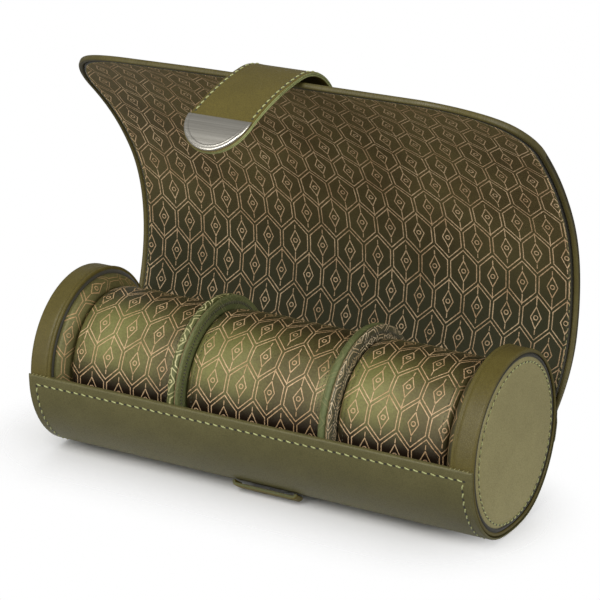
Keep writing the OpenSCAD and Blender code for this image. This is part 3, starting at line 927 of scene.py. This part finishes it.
def buildEnds():
    # turned about the tube's axis: band, disc, crease and inner pad; the pad's swell is its
    # depth times the root of one less the ninth power of its share of the radius
    look = {"lip": 1.9, "step": 0.3, "rimIn": 1.7, "disc": 42.9, "roll": 2.3, "seam": 40.1,
            "bulge": 0.42, "pitch": 3.9, "pad": 43.1}
    r = tube["radius"] - tube["leather"] - 0.05
    low = r - look["step"]
    half = tube["half"]
    start = half - tube["rimWidth"]
    for side, word in ((-1, "left"), (1, "right")):
        # band: a raised lip at the inner edge, a flat middle, a rounded outer edge
        rim = np.concatenate([
            [(start + 1.4, r - 3.4), (start + 0.5, r - 3.2), (start + 0.15, r - 2.2)],
            arcRows(start + look["lip"] / 2, r - 0.85, 0.85, 190, 20, 12),
            arcRows(start + look["lip"] + 0.35, low + 0.02, 0.28, 200, 300, 4),
            [(start + look["lip"] + 1.0, low)],
            joined(np.linspace(start + look["lip"] + 2, half - 2.0, 8), low),
            arcRows(half - 1.3, low - 1.2, 1.2, 90, 0, 10),
            arcRows(half - 0.85, low - 1.25, 0.75, 0, -90, 7),
            [(half - 1.3, r - look["rimIn"] - 0.35), (half - 2.9, r - look["rimIn"] - 0.4)],
        ])
        band = lathe(f"end_band_{word}", rim, rimLeather, side, 46.0)
        dress(band, "tube", "rim_leather", f"end_rim_{word}")
        # outer disc: padded, with a crease where it is sewn and a rolled edge
        dome = np.linspace(0, look["disc"] - look["roll"], 40)
        bulge = look["bulge"] * (1 - (dome / look["disc"]) ** 4
                                 - np.exp(-((dome - look["seam"]) / 0.75) ** 2))
        face = joined(half - 0.22 + bulge, dome)
        w = np.linspace(0.12, 1, 12)
        roll = joined(face[-1, 0] - 1.5 + 1.5 * np.sqrt(1 - w ** 2),
                      look["disc"] - look["roll"] + look["roll"] * w)
        back = [(half - 2.6, look["disc"] - 0.3), (half - 2.7, look["disc"] - 4), (half - 2.7, 0)]
        disc = lathe(f"end_panel_{word}", np.concatenate([face, roll, back])[::-1], discLeather,
                     side)
        dress(disc, "tube", "disc_leather", f"end_disc_{word}")
        ring = flatten(ringAt((half - 0.32) * side, look["seam"], 0, 360, 400), 44.8)
        spots, ways = pitchAlong(ring, look["pitch"])
        sewn = beads(f"end_stitches_{word}", spots, ways, (side, 0, 0), 2.7, 0.42,
                     stitchThread, 0.22, (1.95, 0.45, paintedRecessShade))
        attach(sewn, "tube")
        # painted shade in the crease between the band and the disc: a dark ring at its floor
        crease = lathe(f"end_crease_{word}",
                       [(half - 1.7, 41.6), (half - 0.75, 42.7), (half - 0.7, 43.3),
                        (half - 0.9, 43.7), (half - 1.5, 43.9), (half - 1.5, 45.0),
                        (half - 1.7, 45.0)], paintedRecessShade, side)
        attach(crease, "tube")
        # padded inner disc, full in the middle and thin at its edge; the right one takes the
        # darker copy of the satin, painted shade
        share = np.linspace(0, 1, 60)
        swell = (tube["padThick"] - 0.3) * np.sqrt(np.clip(1 - share ** 9, 0, 1))
        rows = np.concatenate([joined(start - 0.2 - swell, look["pad"] * share),
                               [(start - 0.05, look["pad"] - 0.3), (start - 0.05, 0.0)]])
        inner = lathe(f"inner_pad_{word}", rows, padSatin if side < 0 else padShade, side, 44.0)
        dress(inner, "tube", "divider_fabric", f"inner_disc_{word}")
        # painted shade: a dark ring in the groove between the inner pad and the band
        shadow = lathe(f"inner_crease_{word}", [(start + 0.2, 41.0), (start + 0.2, 45.0),
                                                (start, 45.0), (start, 41.0)], paintedRecessShade, side)
        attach(shadow, "tube")


def buildDividers():
    # two fabric halves a divider, turned about the axis, that meet in a seam at the rim
    look = {"shift": 1.6, "thick": 7.4, "radius": 44.4, "corner": 1.7, "places": (-42.0, 44.6),
            "gather": 40.6, "cloths": (creamSatin, greenCloth, greenCloth, ribSatin)}
    h, r, c = look["thick"] / 2, look["radius"], look["corner"]
    # half of a divider: face, rounded rim, the dip of the seam, and back to the axis inside
    share = np.linspace(0, 1, 40)
    bend = np.linspace(0, 1.45, 10)
    rows = np.concatenate([
        joined(h - 0.3 * share ** 6, share * (r - c)),
        joined(h - 0.3 - c + c * np.cos(bend), r - c + c * np.sin(bend))[1:],
        [(1.4, r), (0.95, r - 0.2), (0.55, r - 0.7), (0.3, r - 1.7)],
        [(0.28, r - 2.2), (h - 1.2, r - 2.3), (h - 1.2, 0.0)]])[::-1]
    halves = [(number, x, side) for number, x in enumerate(look["places"], 1) for side in (-1, 1)]
    for (number, x, side), cloth in zip(halves, look["cloths"]):
        word = f"{number}{'a' if side < 0 else 'b'}"
        piece = lathe(f"divider_cloth_{word}", rows, cloth, wrap=r)
        co = np.zeros(len(piece.data.vertices) * 3, np.float32)
        piece.data.vertices.foreach_get("co", co)
        co = co.reshape(-1, 3)
        # fabric pulled over the rim puckers along its seam: two sine waves round the rim
        y, z = co[:, 1], co[:, 2] - axisZ * mm
        a = np.arctan2(z, y)
        near = np.clip((np.hypot(y, z) / mm - (r - 2.5)) / 2.5, 0, 1)
        pucker = (0.14 * np.sin(a * 61 + 2 * np.sin(a * 7)) + 0.1 * np.sin(a * 37 + number)) * near
        local = (co[:, 0] / mm + pucker * (co[:, 0] > 0.0002)) * side
        # the seam lies a little right of the middle
        local += look["shift"] * np.clip(1 - np.abs(local) / h, 0, 1)
        co[:, 0] = (local + x) * mm
        piece.data.vertices.foreach_set("co", co.ravel())
        if side < 0:
            piece.data.flip_normals()
        dress(piece, "tube", "divider_fabric", f"divider_face_{word}")
        # small gathering stitches round the inside of each face
        spots, _ = pitchAlong(ringAt(x + side * (h - 0.12), look["gather"], -40, 220, 240), 1.7)
        out = spots - np.array([x + side * (h - 0.16), 0, axisZ])
        sewn = beads(f"divider_gather_{word}", spots, out, (side, 0, 0), 2.2, 0.36, darkThread)
        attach(sewn, "tube")


def buildCushions():
    # lengthwise profile turned about the axis; the bottom is pressed flat at z = low plus
    # soft ln(1 + e ^ ((z - low) / soft)); ripples are sine waves added to the radius
    look = {"radius": 38.4, "drop": 12.0, "draw": 1.2, "edge": 2.6, "gap": 0.35, "soft": 3.0,
            "crown": 0.2, "seam": 3.6, "seamDepth": 0.28, "seamWidth": 0.5, "pitch": 2.2,
            "spans": [(-108.0, -45.7), (-38.3, 40.9), (48.3, 108.0)]}
    around = 216
    full, e = look["radius"], look["edge"]
    endR = full - look["draw"] * 0.5
    for number, (x0, x1) in enumerate(look["spans"], 1):
        mid, half = (x0 + x1) / 2, (x1 - x0) / 2 - look["gap"]
        # rows: centre of one end, over its rounded rim, along the top, to the other centre
        a = np.linspace(0, np.pi / 2, 12)
        endFace = joined(-half, np.linspace(0, 1, 12) * (endR - e))
        rim = joined(-half + e * (1 - np.cos(a)), endR - e + e * np.sin(a))[1:]
        top = np.linspace(-half + e, half - e, 70)[1:-1]
        u = np.abs(top / half)
        crown = (full - look["crown"] * u ** 2
                 - (look["draw"] * 0.5 - look["crown"]) * u ** 8)
        # a fine drawn line where the cover is sewn near each end
        seamFar = (np.abs(top) - (half - look["seam"])) / look["seamWidth"]
        crown -= look["seamDepth"] * np.exp(-seamFar ** 2)
        rows = np.concatenate([endFace, rim, joined(top, crown),
                               rim[::-1] * [-1, 1], endFace[::-1] * [-1, 1]])
        # section: round over the top, flat below, with a soft bend between
        t = np.linspace(-np.pi / 2, 3 * np.pi / 2, around, endpoint=False)
        r = rows[:, 1:]
        low, k = 0.3 - look["drop"], look["soft"]
        zz = low + k * np.logaddexp(0, (r * np.sin(t) - low) / k) - k * 0.05
        xx = rows[:, :1] + mid
        # slack in the satin: long shallow ripples that fade toward the ends
        ripple = (np.sin(xx * 0.21 + 2.1 * number + np.sin(t * 3)) * 0.12
                  + np.sin(xx * 0.09 - number + t * 5) * 0.14
                  + np.sin(t * 17 + xx * 0.05 + number) * 0.05)
        fade = np.clip(1 - (np.abs(rows[:, :1]) / half) ** 8, 0, 1)
        ripple *= np.clip((zz - low - 2) / 6, 0, 1) * fade * (r > full - 4)
        points = joined(xx, (r + ripple) * np.cos(t), axisZ + zz + ripple * np.sin(t))
        points[[0, -1], :, 1] = 0
        index, keep = rowNumbers(len(rows), around, (True, True))
        turn = np.linspace(0, 2 * np.pi, around + 1) * full
        faces, uv = gridFaces(index, joined(runOf(rows)[:, None] + number * 7.0, turn))
        cover = meshPiece(f"cushion_satin_{number}", points[keep], faces, cushionSatin, uv)
        dress(cover, f"cushion_{number}", "satin_lining", f"cushion_cover_{number}")
        for side, letter in ((-1, "l"), (1, "r")):
            place = mid + side * (half - look["seam"])
            spots, ways = pitchAlong(ringAt(place, full - 0.62, -12, 192, 200), look["pitch"])
            sewn = beads(f"cushion_seam_{number}{letter}", spots, ways,
                         spots - np.array([place, 0, axisZ]), 1.2, 0.16, darkThread)
            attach(sewn, f"cushion_{number}")


def buildKeeper():
    # flat leather loop under the front: q runs along it, s across it, t through its thickness
    look = {"half": 18.9, "start": 232.0, "turn": 9.5, "gap": 1.9, "thick": 1.7, "leg": 2.4,
            "middle": 3.6, "edge": 0.8, "edgeDepth": 0.35}
    r, thin = tube["radius"], look["thick"] / 2
    # profile: from one foot, over the band, to the other foot
    flat = look["half"] - look["leg"] - 1.2
    lift = look["gap"] + thin
    x = np.linspace(-1, 1, 141) * (look["half"] - thin)
    fall = np.clip((np.abs(x) - flat) / (look["half"] - thin - flat), 0, 1)
    h = np.maximum(lift * np.sqrt(np.clip(1 - fall ** 4.5, 0, 1)), thin)
    run = runOf(joined(x, h))
    total = run[-1]
    dx, dh = np.gradient(x, run), np.gradient(h, run)
    width = math.radians(look["turn"]) * (r + lift)

    def place(q, s, t):
        # along the profile at run q, turned about the axis by s over the loop's radius
        along, over, slopeX, slopeH = [np.interp(q + total / 2, run, each)
                                       for each in (x, h, dx, dh)]
        rr = r + over + t * slopeX
        a = np.radians(look["start"] + (s / width) * look["turn"])
        return joined(along - t * slopeH + look["middle"], rr * np.cos(a),
                      axisZ + rr * np.sin(a))

    edge = easeEdge(look["edge"], 5)
    across = np.unique(np.concatenate([edge, np.linspace(look["edge"], width - look["edge"], 6),
                                       width - edge]))
    q, s = np.meshgrid(np.linspace(-total / 2, total / 2, 121), across)
    height = thin - roundOff(np.minimum(s, width - s), look["edge"], look["edgeDepth"])
    keeper = plate("keeper_loop", q, s, place(q, s, height), place(q, s, -height),
                   [strapLeather, cutEdgeDark], wallMark=1)
    dress(keeper, "tube", "strap_backing", "keeper")


buildShell()
buildEnds()
buildDividers()
buildCushions()
buildKeeper()
print("stage: tube built")


def buildHinge():
    # outer leather from the tube's back up to the lid: an arc on the tube, then one cubic curve
    # to the lid's outside, swept straight across
    look = {"half": 126.6, "from": -19.0, "to": -9.0, "thick": 1.15, "reach": 0.4, "join": 2.5}
    arc = arcRows(0.0, 0.0, tube["radius"] + 0.1, look["from"], look["to"], 12)
    y, z = onChain(lidFrames, lidArcs, 0.6, 2.45 - lid["thin"] - lid["close"] * 0.9)
    join = np.array([float(y), float(z)])
    heading = math.radians(lidFrames[0][2])
    leave = (arc[-1] - arc[-2]) / np.linalg.norm(arc[-1] - arc[-2])
    reach = np.linalg.norm(join - arc[-1]) * look["reach"]
    arrive = np.array([math.sin(heading), math.cos(heading)])
    u = np.linspace(0, 1, 20)[1:, None]
    curve = ((1 - u) ** 3 * arc[-1] + 3 * (1 - u) ** 2 * u * (arc[-1] + leave * reach)
             + 3 * (1 - u) * u ** 2 * (join - arrive * reach) + u ** 3 * join)
    path = np.concatenate([arc, curve])
    way = np.gradient(path, axis=0)
    way /= np.linalg.norm(way, axis=1)[:, None]
    run = runOf(path)

    def place(x, s, t):
        # the path's point at run s, moved out by t square to its direction
        y, z, wayY, wayZ = [np.interp(s, run, each) for each in (*path.T, *way.T)]
        return joined(x, y + wayZ * t, axisZ + z - wayY * t)

    plan = sheetPlan(look["half"], 0.0, run[-1], None, ring=4.0, along=0.8, across=6.0,
                     edge=1.2, steps=6)
    plan["far"] = np.minimum(plan["far"], plan["xs"][:, 1])
    strip = slab("hinge_leather", plan, place, roundHeights(0.0, look["thick"], 0.5, 0.05),
                 shellLeather)
    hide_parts("hinge_strip")
    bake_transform(strip)


buildHinge()

# the hidden CAD parts keep their shapes and get a finish
for paint, names in ((boardPaint, ("shell_board", "end_core_left", "end_core_right",
                                   "divider_core_1", "divider_core_2")),
                     (hiddenSatin, ("shell_lining", "floor_pad_1", "floor_pad_2", "floor_pad_3")),
                     (foamCore, ("cushion_core_1", "cushion_core_2", "cushion_core_3"))):
    for name in names:
        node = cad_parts[name]
        node.data.materials.clear()
        node.data.materials.append(paint)
print("stage: hinge and inner parts dressed")


def buildStage():
    # a lamp is (place in metres, power, size)
    look = {"world": 0.24, "size": 4000.0, "floor": (0.94, 0.94, 0.94, 1),
            "lamps": {"key": ((-0.05, -1.05, 1.15), 13.5, 0.9),
                      "fill": ((-0.6, -1.55, 0.4), 5.5, 0.9),
                      "side": ((1.6, -0.35, 0.6), 11.5, 0.9),
                      "back": ((-0.6, 1.6, 0.5), 13.0, 1.2)}}
    corners = np.array([(-1, -1, 0), (1, -1, 0), (1, 1, 0), (-1, 1, 0)], float)
    floor = meshPiece("floor", corners * look["size"], np.array([[0, 1, 2, 3]]), [],
                      smooth=False)
    p = Paint("floorPaint")
    # the floor fades into the white surround away from the object
    x, y, _ = p.parts(p.place("Object"))
    beside = ((x - 0.08).high(x * -1 - 0.105)).high(0.0)
    away = (beside * beside + y * y).power(0.5)
    p.feed(color=look["floor"], roughness=0.9, specular=0.1,
           alpha=away.band(0.012, 0.085, 1, 0))
    floor.data.materials.append(p.owner)
    # the world is soft white light, and plain white where the camera sees it
    sky = Paint("studio", "worlds")
    soft = sky.tree.nodes["Background"]
    white = (1, 1, 1, 1)
    sky.join(soft, {0: white, 1: look["world"]})
    seen = sky.add("ShaderNodeBackground", None, {0: white, 1: 1.0})
    shown = sky.add("ShaderNodeMixShader", None,
                    {0: sky.add("ShaderNodeLightPath"), 1: Wire(sky, soft.outputs[0]), 2: seen})
    sky.join(sky.tree.nodes["World Output"], {"Surface": shown})
    bpy.context.scene.world = sky.owner
    for word, (spot, power, size) in look["lamps"].items():
        lamp = bpy.data.lights.new(word, "AREA")
        lamp.shape = "DISK"
        lamp.size = size
        lamp.energy = power
        holder = bpy.data.objects.new(word, lamp)
        bpy.context.scene.collection.objects.link(holder)
        holder.visible_glossy = word != "back"
        holder.location = spot
        aim = Vector((0, 0, 0.07)) - Vector(spot)
        holder.rotation_mode = "QUATERNION"
        holder.rotation_quaternion = aim.to_track_quat("-Z", "Y")


def buildCamera():
    # viewing angle and framing worked out from the photograph, with the distance in tube radii;
    # back points from the axis to the camera, and right and up span the frame
    view = {"azimuth": 30.17, "elevation": 19.74, "distance": 26.416, "pixels": 2510.4,
            "centre": (288.70, 394.22), "frame": 600.0, "sensor": 36.0}
    a, e = math.radians(view["azimuth"]), math.radians(view["elevation"])
    back = np.array([math.sin(a) * math.cos(e), -math.cos(a) * math.cos(e), math.sin(e)])
    right = np.cross(-back, [0, 0, 1.0])
    right /= np.linalg.norm(right)
    up = np.cross(right, -back)
    distance = view["distance"] * tube["radius"] * mm
    dx, dy = [(at - view["frame"] / 2) / view["pixels"] * distance for at in view["centre"]]
    place = back * distance - right * dx + up * dy + np.array([0, 0, axisZ * mm])
    data = bpy.data.cameras.new("photoCamera")
    data.sensor_width = view["sensor"]
    data.lens = view["pixels"] / view["frame"] * view["sensor"]
    data.clip_start, data.clip_end = 0.05, 50.0
    camera = bpy.data.objects.new("photoCamera", data)
    bpy.context.scene.collection.objects.link(camera)
    camera.matrix_world = Matrix([(right[i], up[i], back[i], place[i]) for i in range(3)]
                                 + [(0, 0, 0, 1)])
    bpy.context.scene.camera = camera


buildStage()
buildCamera()
bpy.context.scene.view_settings.view_transform = "Standard"
print("stage: floor, light and camera set")
